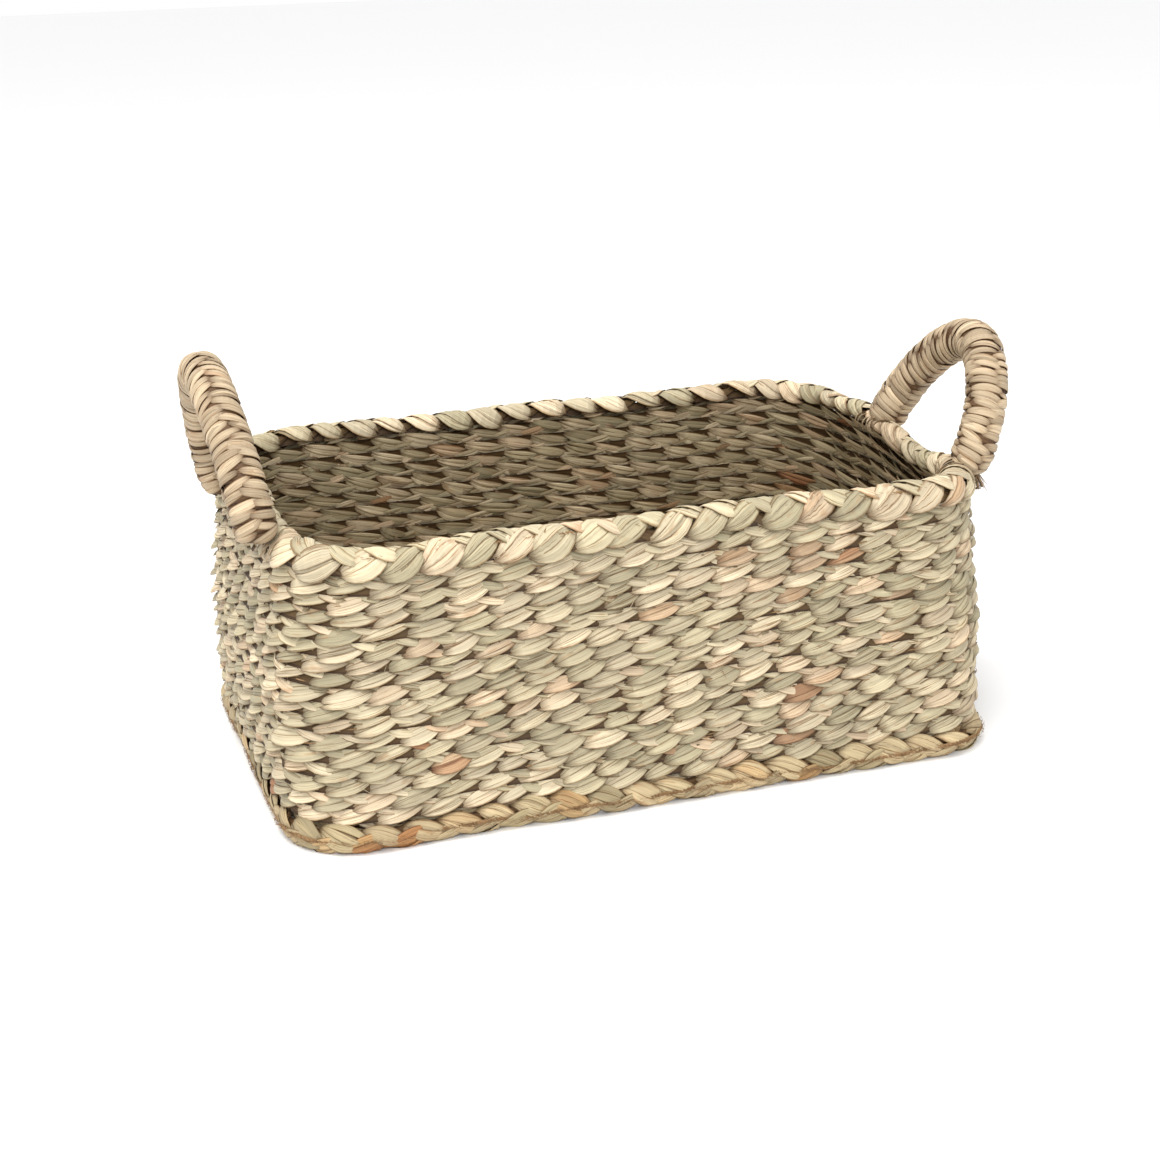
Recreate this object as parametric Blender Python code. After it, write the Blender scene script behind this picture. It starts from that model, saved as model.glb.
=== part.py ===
"""Rectangular storage basket made of plaited seagrass, with two wrapped handles.

A flat three-strand plait is wound round and round. The bottom is wound flat, from a centre strip
out to the base edge. The walls are wound upwards, each course lying over the outside of the course
below like a roof tile. A last plait is folded over the top as the rim. Each handle is a stiff core
wrapped in seagrass, lashed over the rim at its two feet.

Metres, +Z up, +X along the basket's length, standing on z = 0 with its middle at the origin.
"""

import math

import bmesh
import bpy
from mathutils import Vector

MM = 0.001

# Outline of the wall's outer face, at the floor and at the rim.
BASE_LENGTH, BASE_DEPTH, BASE_CORNER = 0.376, 0.236, 0.032
RIM_LENGTH, RIM_DEPTH, RIM_CORNER = 0.363, 0.235, 0.045
HEIGHT = 0.150
END_BULGE = 0.0127

# Wall courses: flat plaits with a lens-shaped section, leaning in at the top.
COURSE_COUNT = 16
FIRST_COURSE_Z = 0.0136
RIM_Z = 0.1365
COURSE_PITCH = (RIM_Z - FIRST_COURSE_Z) / COURSE_COUNT
COURSE_TILT = math.radians(27.0)
COURSE_WIDTH = 2 * COURSE_PITCH * math.cos(COURSE_TILT)
COURSE_MIDDLE_THICKNESS = 4.2 * MM
COURSE_EDGE_THICKNESS = 2.0 * MM
COURSE_EDGE_INSET = 1.0 * MM

# Flat turns of the bottom.
BASE_TURN_COUNT = 6
BASE_TURN_START = 5.4 * MM
BASE_TURN_PITCH = (BASE_DEPTH / 2 - BASE_TURN_START) / (BASE_TURN_COUNT + 0.5)
BASE_TURN_WIDTH = BASE_TURN_PITCH - 0.4 * MM
BASE_TURN_THICKNESS = 4.2 * MM
BASE_TURN_CHAMFER = 1.2 * MM
TIGHTEST_CORNER = 1.3 * MM

THREAD_RADIUS = 0.5 * MM
THREAD_SIDES = 5

# Handles: an arch of wrapped core above two feet.
WRAP_RADIUS = 11.0 * MM
WRAP_VALLEY_RADIUS = 10.4 * MM
BORE_RADIUS = 6.6 * MM
CORE_RADIUS = 6.2 * MM
HANDLE_SIDES = 10
HANDLE_STATIONS = 29
FOOT_Z = 0.150
LASHING_TOP_Z = 0.1523
FOOT_GAP = 0.4 * MM
BEND_Z = LASHING_TOP_Z + FOOT_GAP + WRAP_RADIUS
LASHING_HALF_LENGTH = 11.5 * MM
LASHING_STATIONS = 6

# side: which end; foot_x: distance of the feet from the middle; centre_y: middle of the arch;
# half_span and rise: size of the arch; lean: outward tilt; fullness: below 1 is squarer.
HANDLES = {
    "left_handle": {
        "side": -1,
        "foot_x": 0.1885,
        "centre_y": -0.0135,
        "half_span": 0.0625,
        "rise": 0.0675,
        "lean": math.radians(9.0),
        "fullness": 1.10,
    },
    "right_handle": {
        "side": 1,
        "foot_x": 0.182,
        "centre_y": -0.0385,
        "half_span": 0.048,
        "rise": 0.0585,
        "lean": math.radians(26.0),
        "fullness": 1.15,
    },
}

# Section of each special ring, as (distance in from the wall's outer face, height), in mm.
RIM_SECTION_MM = [
    (0.3, 136.5),
    (-0.7, 141.0),
    (0.6, 146.5),
    (1.1, 147.06),
    (3.1, 146.9),
    (2.7, 148.84),
    (3.2, 149.4),
    (6.0, 150.2),
    (9.0, 149.4),
    (11.6, 146.0),
    (11.3, 142.4),
    (8.6, 141.9),
    (5.7, 142.1),
    (2.0, 136.9),
]
RIM_THREAD_MM = (2.09, 147.8)
BASE_EDGE_SECTION_MM = [
    (0.8, 0.0),
    (-1.5, 2.4),
    (-1.9, 5.4),
    (-0.3, 6.6),
    (-1.9, 7.8),
    (-1.2, 10.6),
    (0.9, 12.7),
    (4.0, 12.1),
    (5.0, 8.0),
    (5.0, 0.0),
]
BASE_THREAD_MM = (-1.62, 6.6)

# Loop layout, the same for every ring so that sections join point to point.
CORNER_STEPS = 4
LONG_SIDE_STEPS = 2
END_SIDE_STEPS = 6

STRAW = (0.62, 0.54, 0.37)
DARK_STRAW = (0.50, 0.42, 0.28)
WRAP_STRAW = (0.66, 0.55, 0.38)
CORE_BROWN = (0.42, 0.33, 0.21)
JUTE = (0.33, 0.22, 0.12)


def clear_scene():
    for item in list(bpy.data.objects):
        bpy.data.objects.remove(item)


def lerp(low, high, share):
    return low + (high - low) * share


def outline(inset, z):
    """Half length, half depth, corner radius and end bulge of a loop inset from the outer face."""
    share = z / HEIGHT
    half_length = lerp(BASE_LENGTH, RIM_LENGTH, share) / 2 - inset
    half_depth = lerp(BASE_DEPTH, RIM_DEPTH, share) / 2 - inset
    radius = max(lerp(BASE_CORNER, RIM_CORNER, share) - inset, TIGHTEST_CORNER)
    bulge = 4 * share * (1 - share) * END_BULGE
    return half_length, half_depth, min(radius, half_depth), bulge


def bulged(x, y, half_length, half_depth, bulge):
    """Pushes the ends of a loop outwards, most in their middle."""
    reach = (1 - (y / half_depth) ** 2) * abs(x / half_length) ** 8
    return x + math.copysign(bulge * max(reach, 0.0), x)


def loop_points(inset, z):
    """One closed loop round the basket, counter-clockwise from above."""
    half_length, half_depth, radius, bulge = outline(inset, z)
    straight_x = half_length - radius
    straight_y = half_depth - radius
    corners = [(-1, -1, 180), (1, -1, 270), (1, 1, 0), (-1, 1, 90)]
    flat = []
    for index, (sign_x, sign_y, start) in enumerate(corners):
        for step in range(CORNER_STEPS + 1):
            angle = math.radians(start + 90 * step / CORNER_STEPS)
            x = sign_x * straight_x + radius * math.cos(angle)
            y = sign_y * straight_y + radius * math.sin(angle)
            flat.append((x, y))
        steps = LONG_SIDE_STEPS if index % 2 == 0 else END_SIDE_STEPS
        next_x, next_y, next_start = corners[(index + 1) % 4]
        angle = math.radians(next_start)
        end_x = next_x * straight_x + radius * math.cos(angle)
        end_y = next_y * straight_y + radius * math.sin(angle)
        start_x, start_y = flat[-1]
        for step in range(1, steps):
            share = step / steps
            flat.append((lerp(start_x, end_x, share), lerp(start_y, end_y, share)))
    return [Vector((bulged(x, y, half_length, half_depth, bulge), y, z)) for x, y in flat]


def end_face_x(inset, y, z):
    """Distance from the middle to the end wall's face, at one place across the end."""
    half_length, half_depth, radius, bulge = outline(inset, z)
    past_straight = abs(y) - (half_depth - radius)
    x = half_length
    if past_straight > 0:
        x = half_length - radius + math.sqrt(radius**2 - past_straight**2)
    return bulged(x, y, half_length, half_depth, bulge)


def add_object(name, loops, colour, roughness, closed_ring=False):
    """One closed body from matching loops: end to start if a ring, otherwise with capped ends."""
    mesh_builder = bmesh.new()
    rows = [[mesh_builder.verts.new(point) for point in loop] for loop in loops]
    pairs = list(zip(rows[:-1], rows[1:]))
    if closed_ring:
        pairs.append((rows[-1], rows[0]))
    for row, next_row in pairs:
        for index in range(len(row)):
            after = (index + 1) % len(row)
            mesh_builder.faces.new((row[index], row[after], next_row[after], next_row[index]))
    if not closed_ring:
        mesh_builder.faces.new(list(reversed(rows[0])))
        mesh_builder.faces.new(rows[-1])
    bmesh.ops.recalc_face_normals(mesh_builder, faces=mesh_builder.faces)
    mesh = bpy.data.meshes.new(name)
    mesh_builder.to_mesh(mesh)
    mesh_builder.free()
    item = bpy.data.objects.new(name, mesh)
    bpy.context.scene.collection.objects.link(item)
    mesh.materials.append(make_material(name, colour, roughness))
    return item


def make_material(name, colour, roughness):
    material = bpy.data.materials.new(name)
    material.use_nodes = True
    shader = material.node_tree.nodes["Principled BSDF"]
    shader.inputs["Base Color"].default_value = (*colour, 1.0)
    shader.inputs["Roughness"].default_value = roughness
    shader.inputs["Metallic"].default_value = 0.0
    return material


def place_origin(item, point):
    """Moves an object's origin to a point without moving the body."""
    for vertex in item.data.vertices:
        vertex.co -= point
    item.location = point


def add_ring(name, section, colour, roughness=0.85):
    """A ring that follows the basket's outline; section is (inset, z) pairs in metres."""
    loops = [loop_points(inset, z) for inset, z in section]
    item = add_object(name, loops, colour, roughness, closed_ring=True)
    place_origin(item, Vector((0.0, 0.0, min(z for _, z in section))))
    return item


def in_metres(section_mm):
    return [(inset * MM, z * MM) for inset, z in section_mm]


def thread_section(centre_mm):
    """Round section of a sewing thread."""
    centre_inset, centre_z = centre_mm
    section = []
    for side in range(THREAD_SIDES):
        angle = 2 * math.pi * side / THREAD_SIDES
        inset = centre_inset * MM + THREAD_RADIUS * math.cos(angle)
        section.append((inset, centre_z * MM + THREAD_RADIUS * math.sin(angle)))
    return section


def course_section(first_z):
    """Lens section of one wall course, lower edge outside and upper edge inside."""
    along = Vector((math.sin(COURSE_TILT), math.cos(COURSE_TILT)))
    outward = Vector((-math.cos(COURSE_TILT), math.sin(COURSE_TILT)))
    start = Vector((COURSE_EDGE_INSET, first_z))
    stations = [
        (0.0, COURSE_EDGE_THICKNESS),
        (COURSE_WIDTH / 2, COURSE_MIDDLE_THICKNESS),
        (COURSE_WIDTH, COURSE_EDGE_THICKNESS),
    ]
    outer = [start + along * reach + outward * thickness / 2 for reach, thickness in stations]
    inner = [start + along * reach - outward * thickness / 2 for reach, thickness in stations]
    return [tuple(point) for point in outer + inner[::-1]]


def add_wall():
    for index in range(COURSE_COUNT):
        first_z = FIRST_COURSE_Z + index * COURSE_PITCH
        add_ring(f"wall_course_{index + 1:02d}", course_section(first_z), STRAW)
    add_ring("rim_plait", in_metres(RIM_SECTION_MM), STRAW)
    add_ring("rim_thread", thread_section(RIM_THREAD_MM), JUTE, 0.95)


def flat_turn_section(inset):
    """Flat section of one turn of the bottom, lying on the floor."""
    far = inset + BASE_TURN_WIDTH
    shoulder = BASE_TURN_THICKNESS - BASE_TURN_CHAMFER
    return [
        (inset, 0.0),
        (inset, shoulder),
        (inset + BASE_TURN_CHAMFER, BASE_TURN_THICKNESS),
        (far - BASE_TURN_CHAMFER, BASE_TURN_THICKNESS),
        (far, shoulder),
        (far, 0.0),
    ]


def add_base():
    add_ring("base_edge_plait", in_metres(BASE_EDGE_SECTION_MM), DARK_STRAW)
    add_ring("base_thread", thread_section(BASE_THREAD_MM), JUTE, 0.95)
    for index in range(BASE_TURN_COUNT):
        inset = BASE_TURN_START + index * BASE_TURN_PITCH
        add_ring(f"base_turn_{index + 1:02d}", flat_turn_section(inset), DARK_STRAW)
    centre_inset = BASE_TURN_START + BASE_TURN_COUNT * BASE_TURN_PITCH
    shoulder = BASE_TURN_THICKNESS - BASE_TURN_CHAMFER
    levels = [
        (centre_inset, 0.0),
        (centre_inset, shoulder),
        (centre_inset + BASE_TURN_CHAMFER, BASE_TURN_THICKNESS),
    ]
    loops = [loop_points(inset, z) for inset, z in levels]
    add_object("base_centre_strip", loops, DARK_STRAW, 0.85)


def arch_point(shape, turn):
    """Point on a handle's centre line; turn runs from 0 at the front foot to pi at the back."""
    power = shape["fullness"]
    across = -math.copysign(abs(math.cos(turn)) ** power, math.cos(turn)) * shape["half_span"]
    up = max(math.sin(turn), 0.0) ** power * shape["rise"]
    x = shape["side"] * (shape["foot_x"] + math.sin(shape["lean"]) * up)
    return Vector((x, shape["centre_y"] + across, FOOT_Z + math.cos(shape["lean"]) * up))


def bend_turn(shape):
    """Turn at which the front leg reaches the height of the bend line."""
    up = (BEND_Z - FOOT_Z) / math.cos(shape["lean"])
    return math.asin((up / shape["rise"]) ** (1 / shape["fullness"]))


def arch_path(shape):
    """Centre line from bend line to bend line, evenly spaced along its length."""
    first = bend_turn(shape)
    fine_count = 600
    fine = [
        arch_point(shape, lerp(first, math.pi - first, step / fine_count))
        for step in range(fine_count + 1)
    ]
    lengths = [0.0]
    for point, next_point in zip(fine[:-1], fine[1:]):
        lengths.append(lengths[-1] + (next_point - point).length)
    path = []
    position = 0
    for station in range(HANDLE_STATIONS):
        target = lengths[-1] * station / (HANDLE_STATIONS - 1)
        while position < fine_count and lengths[position] < target:
            position += 1
        path.append(fine[position])
    return path


def ring_round(centre, tangent, side_axis, radius):
    """A round loop across the centre line."""
    across = side_axis.cross(tangent).normalized()
    points = []
    for step in range(HANDLE_SIDES):
        angle = 2 * math.pi * step / HANDLE_SIDES
        points.append(centre + (side_axis * math.cos(angle) + across * math.sin(angle)) * radius)
    return points


def dome_radius(reach):
    """Radius of the round foot a given distance beyond the bend line."""
    return math.sqrt(WRAP_RADIUS**2 - reach**2)


def handle_stations(shape, foot_reaches):
    """(centre, tangent, reach beyond the bend line) along one handle, foot to foot."""
    path = arch_path(shape)
    first_tangent = (path[1] - path[0]).normalized()
    last_tangent = (path[-1] - path[-2]).normalized()
    stations = []
    for reach in reversed(foot_reaches):
        stations.append((path[0] - first_tangent * reach, first_tangent, reach))
    for index, centre in enumerate(path):
        before = path[max(index - 1, 0)]
        after = path[min(index + 1, len(path) - 1)]
        stations.append((centre, (after - before).normalized(), 0.0))
    for reach in foot_reaches:
        stations.append((path[-1] + last_tangent * reach, last_tangent, reach))
    return stations


def add_handle_core(name, shape, side_axis, bend_point):
    """The stiff core inside the wrapping, whose ends show in the feet."""
    core_end = 10.2 * MM
    loops = []
    for centre, tangent, reach in handle_stations(shape, [8.2 * MM, 9.0 * MM, core_end]):
        radius = CORE_RADIUS if reach < core_end else dome_radius(core_end)
        loops.append(ring_round(centre, tangent, side_axis, min(radius, CORE_RADIUS)))
    item = add_object(f"{name}_core", loops, CORE_BROWN, 0.9)
    place_origin(item, bend_point)


def add_handle_wrap(name, shape, side_axis, bend_point):
    """The seagrass wrapping: a ribbed sleeve with round feet, open at both ends."""
    outer = []
    inner = []
    for index, (centre, tangent, reach) in enumerate(
        handle_stations(shape, [5.5 * MM, 8.2 * MM])
    ):
        ribbed = WRAP_RADIUS if index % 2 == 0 else WRAP_VALLEY_RADIUS
        radius = dome_radius(reach) if reach > 0 else ribbed
        outer.append(ring_round(centre, tangent, side_axis, radius))
        inner.append(ring_round(centre, tangent, side_axis, BORE_RADIUS))
    item = add_object(f"{name}_wrap", outer + inner[::-1], WRAP_STRAW, 0.85, closed_ring=True)
    place_origin(item, bend_point)


def lashing_section(foot_inset):
    """Band over the rim under a foot: down the outside, over the top and down the inside."""
    outer_face = min(-4.2 * MM, foot_inset - 6.0 * MM)
    outside = [
        (-2.4 * MM, 0.1370),
        (lerp(-3.6 * MM, outer_face, 0.5), 0.1425),
        (outer_face, 0.1480),
        (outer_face + 1.5 * MM, 0.1513),
        (outer_face + 4.0 * MM, LASHING_TOP_Z),
    ]
    over_and_inside = [
        (10.5, 152.3),
        (13.8, 150.2),
        (14.8, 146.0),
        (14.2, 141.5),
        (12.4, 141.5),
        (12.4, 146.2),
        (9.6, 150.0),
        (6.0, 150.8),
        (2.5, 149.9),
        (0.0, 147.1),
        (-1.4, 141.0),
        (-0.8, 137.0),
    ]
    return outside + in_metres(over_and_inside)


def add_lashing(name, shape, foot_y):
    side = shape["side"]
    foot_inset = RIM_LENGTH / 2 - shape["foot_x"]
    section = lashing_section(foot_inset)
    loops = []
    for station in range(LASHING_STATIONS):
        share = station / (LASHING_STATIONS - 1)
        y = foot_y + lerp(-LASHING_HALF_LENGTH, LASHING_HALF_LENGTH, share)
        loops.append([Vector((side * end_face_x(inset, y, z), y, z)) for inset, z in section])
    item = add_object(name, loops, WRAP_STRAW, 0.85)
    place_origin(item, Vector((side * shape["foot_x"], foot_y, FOOT_Z)))


def add_handle(name, shape):
    lean = shape["lean"]
    side_axis = Vector((math.cos(lean), 0.0, -shape["side"] * math.sin(lean)))
    bend_up = BEND_Z - FOOT_Z
    bend_x = shape["side"] * (shape["foot_x"] + math.tan(lean) * bend_up)
    bend_point = Vector((bend_x, shape["centre_y"], BEND_Z))
    add_handle_core(name, shape, side_axis, bend_point)
    add_handle_wrap(name, shape, side_axis, bend_point)
    front_y = shape["centre_y"] - shape["half_span"]
    back_y = shape["centre_y"] + shape["half_span"]
    add_lashing(f"{name}_front_lashing", shape, front_y)
    add_lashing(f"{name}_back_lashing", shape, back_y)


def main():
    clear_scene()
    add_base()
    add_wall()
    for name, shape in HANDLES.items():
        add_handle(name, shape)


main()
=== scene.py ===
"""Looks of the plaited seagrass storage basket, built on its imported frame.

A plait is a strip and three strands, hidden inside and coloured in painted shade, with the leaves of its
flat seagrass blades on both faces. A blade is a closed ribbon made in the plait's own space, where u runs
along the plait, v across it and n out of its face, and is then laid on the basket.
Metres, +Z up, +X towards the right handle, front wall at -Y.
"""

import math

import bpy
import numpy as np
from mathutils import Matrix, Vector


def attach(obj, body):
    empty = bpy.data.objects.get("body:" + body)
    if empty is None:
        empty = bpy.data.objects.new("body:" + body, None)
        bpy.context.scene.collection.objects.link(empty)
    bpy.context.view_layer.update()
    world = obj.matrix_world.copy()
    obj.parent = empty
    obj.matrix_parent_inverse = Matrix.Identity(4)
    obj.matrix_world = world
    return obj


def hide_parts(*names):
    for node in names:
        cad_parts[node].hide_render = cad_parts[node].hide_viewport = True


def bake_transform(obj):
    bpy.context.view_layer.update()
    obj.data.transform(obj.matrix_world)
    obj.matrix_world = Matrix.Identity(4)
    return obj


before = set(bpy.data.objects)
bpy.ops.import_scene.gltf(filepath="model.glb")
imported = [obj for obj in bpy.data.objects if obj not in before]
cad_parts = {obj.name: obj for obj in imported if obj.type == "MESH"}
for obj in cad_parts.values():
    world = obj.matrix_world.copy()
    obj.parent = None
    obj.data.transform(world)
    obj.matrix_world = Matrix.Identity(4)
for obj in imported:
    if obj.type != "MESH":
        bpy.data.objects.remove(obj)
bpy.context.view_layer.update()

MM = 0.001
TURN = 2 * math.pi

# Outline of the wall's outer face, as the CAD source has it.
BASE_LENGTH, BASE_DEPTH, BASE_CORNER = 0.376, 0.236, 0.032
RIM_LENGTH, RIM_DEPTH, RIM_CORNER = 0.363, 0.235, 0.045
HEIGHT = 0.150
END_BULGE = 0.0127
TIGHTEST_CORNER = 1.3 * MM

# Wall courses, leaning in at the top like roof tiles.
COURSE_COUNT = 16
FIRST_COURSE_Z = 0.0136
RIM_Z = 0.1365
COURSE_PITCH = (RIM_Z - FIRST_COURSE_Z) / COURSE_COUNT
COURSE_TILT = math.radians(27.0)
COURSE_WIDTH = 2 * COURSE_PITCH * math.cos(COURSE_TILT)
COURSE_EDGE_INSET = 1.7 * MM

# Turns of the bottom.
BASE_TURN_COUNT = 6
BASE_TURN_START = 5.4 * MM
BASE_TURN_PITCH = (BASE_DEPTH / 2 - BASE_TURN_START) / (BASE_TURN_COUNT + 0.5)

# Section lines that the shaped plaits and the lashings follow, as (inset from the wall face,
# height) in mm.
RIM_TRACK = [
    (1.2, 136.0),
    (0.1, 140.2),
    (0.5, 144.6),
    (2.6, 147.8),
    (5.9, 149.0),
    (9.0, 147.7),
    (11.0, 144.2),
    (11.5, 141.4),
]
EDGE_TRACK = [
    (5.0, 0.9),
    (1.8, 1.1),
    (-0.1, 3.4),
    (-0.6, 6.4),
    (-0.4, 9.2),
    (1.4, 11.8),
    (4.4, 13.0),
]
LASHING_TRACK = [
    (-2.6, 137.5),
    (-3.2, 142.0),
    (-3.2, 146.5),
    (-1.0, 150.0),
    (3.0, 151.6),
    (9.0, 151.3),
    (13.0, 148.8),
    (13.8, 145.5),
    (13.2, 142.0),
]
TRACK_POINTS = 240
TRACK_SMOOTHING = 41
RIM_SPINE = (2.0, 148.0)
EDGE_SPINE = (-2.3, 6.5)

# Broad dents and sags: (share of the way round, its reach, height as a share, its reach,
# inwards in mm, upwards in mm).
DENTS = [
    (0.935, 0.075, 0.62, 0.28, 3.6, 0.0),
    (0.435, 0.070, 0.85, 0.20, -3.0, 0.0),
    (0.404, 0.026, 1.00, 0.22, 0.0, -7.5),
    (0.458, 0.018, 1.00, 0.22, 0.0, 2.5),
    (0.935, 0.080, 0.04, 0.12, 3.0, 0.0),
    (0.435, 0.085, 0.04, 0.12, 3.4, 0.0),
    (0.200, 0.120, 0.04, 0.10, -1.6, 0.0),
    (0.055, 0.025, 0.04, 0.10, -2.6, 0.0),
]

# Plait: length of one strand's full swing; how far it swings, how far it lifts, how far its leaves
# lie above that, the widths of a strand and of the hidden strip in painted shade, and how deep that strip
# is sunk.
SWING_LENGTH = 58.5 * MM
WALL_PLAIT = {
    "swing": 4.7 * MM,
    "lift": 1.5 * MM,
    "cover": 0.7 * MM,
    "strand": 9.2 * MM,
    "shade_strip": 12.6 * MM,
    "sunk": 0.0,
}
RIM_PLAIT = {
    "swing": 8.2 * MM,
    "lift": 1.6 * MM,
    "cover": 1.4 * MM,
    "strand": 11.8 * MM,
    "shade_strip": 21.0 * MM,
    "sunk": 1.8 * MM,
}
EDGE_PLAIT = {
    "swing": 4.8 * MM,
    "lift": 1.4 * MM,
    "cover": 0.9 * MM,
    "strand": 8.8 * MM,
    "shade_strip": 11.0 * MM,
    "sunk": 0.8 * MM,
}
BASE_PLAIT = {
    "swing": 4.7 * MM,
    "lift": 0.7 * MM,
    "cover": 0.5 * MM,
    "strand": 8.6 * MM,
    "shade_strip": 11.0 * MM,
    "sunk": 0.0,
}

# Near 1, a strand runs straight across the plait and folds sharply at each edge.
FOLD_SHARPNESS = 0.95

# Distance between the points of a hidden strand, and loose fibres for each wall course.
BLADE_STEP = 2.6 * MM
STRAY_HAIRS = 26
STRAY_JUTE = 9

# A leaf is what shows of a strand's blades, from its fold on one edge to where it passes under the
# next strand in the middle, as angles of the swing. Its ends run on by the tuck, out of sight, and
# leaves on a plait's inner face get painted light, a little brighter.
LEAF_START = math.radians(84.0)
LEAF_END = math.radians(184.0)
LEAF_TUCK = 5.0 * MM
LEAF_THICKNESS = 0.6 * MM
LEAF_STATIONS = 9
INSIDE_PAINTED_LIGHT = 0.3

# Hidden strands: their width, swing and lift as shares of the plait's, and their thickness. They are
# coloured in full painted shade.
CORE_SHARE = 0.52
CORE_SWING = 0.86
CORE_LIFT = 0.4
CORE_THICKNESS = 1.3 * MM

# Blades in a leaf: (place across and width in strand widths, place out in mm, chance).
LEAF_BLADES = [
    (0.00, 0.90, 0.00, 1.0),
    (-0.25, 0.48, 0.50, 0.60),
    (0.27, 0.42, 0.45, 0.60),
    (0.05, 0.36, 0.80, 0.45),
]

# Blades of each strand of the bottom's centre strip: (place across in strand widths, place out in
# mm, width in strand widths).
STRIP_BLADES = [
    (0.0, 0.0, 0.9),
    (-0.25, 0.6, 0.46),
    (0.25, 0.7, 0.46),
    (-0.25, -0.7, 0.46),
    (0.25, -0.6, 0.46),
]

# What the materials read of each blade: (colour pick, brightness, painted shade, seed). The hidden
# strands and the strip inside each plait are in full painted shade, and so is the band under a handle's
# wrapping.
PAINTED_SHADE_TONE = (0.2, 0.3, 1.0, 0.5)
BAND_PAINTED_SHADE_TONE = (0.3, 0.4, 1.0, 0.5)

# Thread: length of one twist, how far each ply is from the middle, and its hairs' thickness.
THREAD_TWIST = 5.0 * MM
THREAD_PLY = 0.5 * MM
HAIR_WIDTH = 0.16 * MM
HAIR_THICKNESS = 0.14 * MM

# Handles, as the CAD source has them, and how they are wrapped. For each foot, reach is how far it
# goes past the end of the arch, tuck how far it turns in over the rim, tails the number of frayed
# ends below it, tail their length and flare how far they stand out. seam is where round the
# handle the wrapping's slant changes.
WRAP_RADIUS = 11.0 * MM
FOOT_Z = 0.150
HANDLES = {
    "left_handle": {
        "side": -1,
        "foot_x": 0.1885,
        "centre_y": -0.0135,
        "half_span": 0.0625,
        "rise": 0.0675,
        "lean": math.radians(9.0),
        "fullness": 1.10,
        "front_foot": {
            "reach": 1.5 * MM,
            "tuck": 3.5 * MM,
            "tails": 5,
            "tail": 4 * MM,
            "flare": 2 * MM,
        },
        "back_foot": {
            "reach": 14.0 * MM,
            "tuck": -1.5 * MM,
            "tails": 14,
            "tail": 5 * MM,
            "flare": 3 * MM,
        },
        "seam": math.radians(150.0),
        "seed": 501,
    },
    "right_handle": {
        "side": 1,
        "foot_x": 0.182,
        "centre_y": -0.0385,
        "half_span": 0.048,
        "rise": 0.0585,
        "lean": math.radians(26.0),
        "fullness": 1.15,
        "front_foot": {
            "reach": 7.0 * MM,
            "tuck": 2.5 * MM,
            "tails": 60,
            "tail": 15 * MM,
            "flare": 8 * MM,
        },
        "back_foot": {
            "reach": 4.0 * MM,
            "tuck": 3.5 * MM,
            "tails": 12,
            "tail": 4 * MM,
            "flare": 3 * MM,
        },
        "seam": math.radians(200.0),
        "seed": 601,
    },
}

# Grass packed under the wrapping, the height where a foot meets the arch, and how far before the
# end of the arch a foot starts to round off.
PACKING_RADIUS = 9.0 * MM
PACKING_LANES = 12
FOOT_TOP_Z = 0.174
FOOT_ROUND_FROM = 3.0 * MM

# Two heights passed along with each foot, near the rim and up its handle.
BEND_LOW = (0.0, 0.0, 0.1530)
BEND_HIGH = (0.0, 0.0, 0.1720)

# Wrapping: short blades laid round the handle over a hidden band in full painted shade, which shows in
# their gaps.
WRAP_PITCH = 4.3 * MM
WRAP_SECTORS = 4
WRAP_OVERLAP = 1.35
WRAP_WIDTH = 4.4 * MM
WRAP_SLANT = 2.9 * MM

# Blades that bind a foot over the rim: their number, half their length and, in mm, half the width
# they cover.
LASHING_BLADES = 7
LASHING_HALF_REACH = 20.5 * MM
LASHING_HALF_SPREAD = 7.5

# Closed section of one blade, as (across, out): two creases on each face.
BLADE_SECTION = np.array(
    [(-1.0, 0.0), (-0.48, 0.85), (0.42, 1.0), (1.0, 0.0), (0.48, -0.85), (-0.42, -1.0)]
)
SHARP_ANGLE = math.radians(14.0)

# Camera, fitted in the part's own frame.
CAMERA_PLACE = (-0.33306, -1.00937, 0.45353)
CAMERA_RIGHT = (0.94833, -0.31662, -0.02073)
CAMERA_UP = (0.12351, 0.30818, 0.94328)
CAMERA_LENS = 64.35
SENSOR_WIDTH = 36.0

# Blade colours, from grey-green straw to rust, with the share of blades up to each.
SEAGRASS_COLOURS = [
    (0.00, (0.40, 0.35, 0.22)),
    (0.30, (0.53, 0.455, 0.295)),
    (0.58, (0.66, 0.555, 0.38)),
    (0.78, (0.62, 0.475, 0.315)),
    (0.90, (0.49, 0.32, 0.18)),
    (0.97, (0.34, 0.165, 0.08)),
]
BASE_COLOURS = [
    (0.00, (0.36, 0.29, 0.16)),
    (0.35, (0.48, 0.38, 0.22)),
    (0.65, (0.55, 0.42, 0.24)),
    (0.85, (0.50, 0.31, 0.13)),
    (0.96, (0.34, 0.16, 0.06)),
]
WRAP_COLOURS = [
    (0.00, (0.38, 0.285, 0.18)),
    (0.40, (0.48, 0.37, 0.24)),
    (0.75, (0.56, 0.44, 0.29)),
    (0.95, (0.44, 0.30, 0.18)),
]


def lerp(low, high, share):
    return low + (high - low) * share


# ---------------------------------------------------------------- outline of the basket


def outline(inset, z):
    """Half length, half depth, corner radius and end bulge of a loop inset from the outer face."""
    share = z / HEIGHT
    half_length = lerp(BASE_LENGTH, RIM_LENGTH, share) / 2 - inset
    half_depth = lerp(BASE_DEPTH, RIM_DEPTH, share) / 2 - inset
    radius = np.maximum(lerp(BASE_CORNER, RIM_CORNER, share) - inset, TIGHTEST_CORNER)
    bulge = 4 * share * (1 - share) * END_BULGE
    return half_length, half_depth, np.minimum(radius, half_depth), bulge


CORNER_X = np.array([-1, 1, 1, -1])
CORNER_Y = np.array([-1, -1, 1, 1])
CORNER_START = np.radians([180.0, 270.0, 0.0, 90.0])


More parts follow.
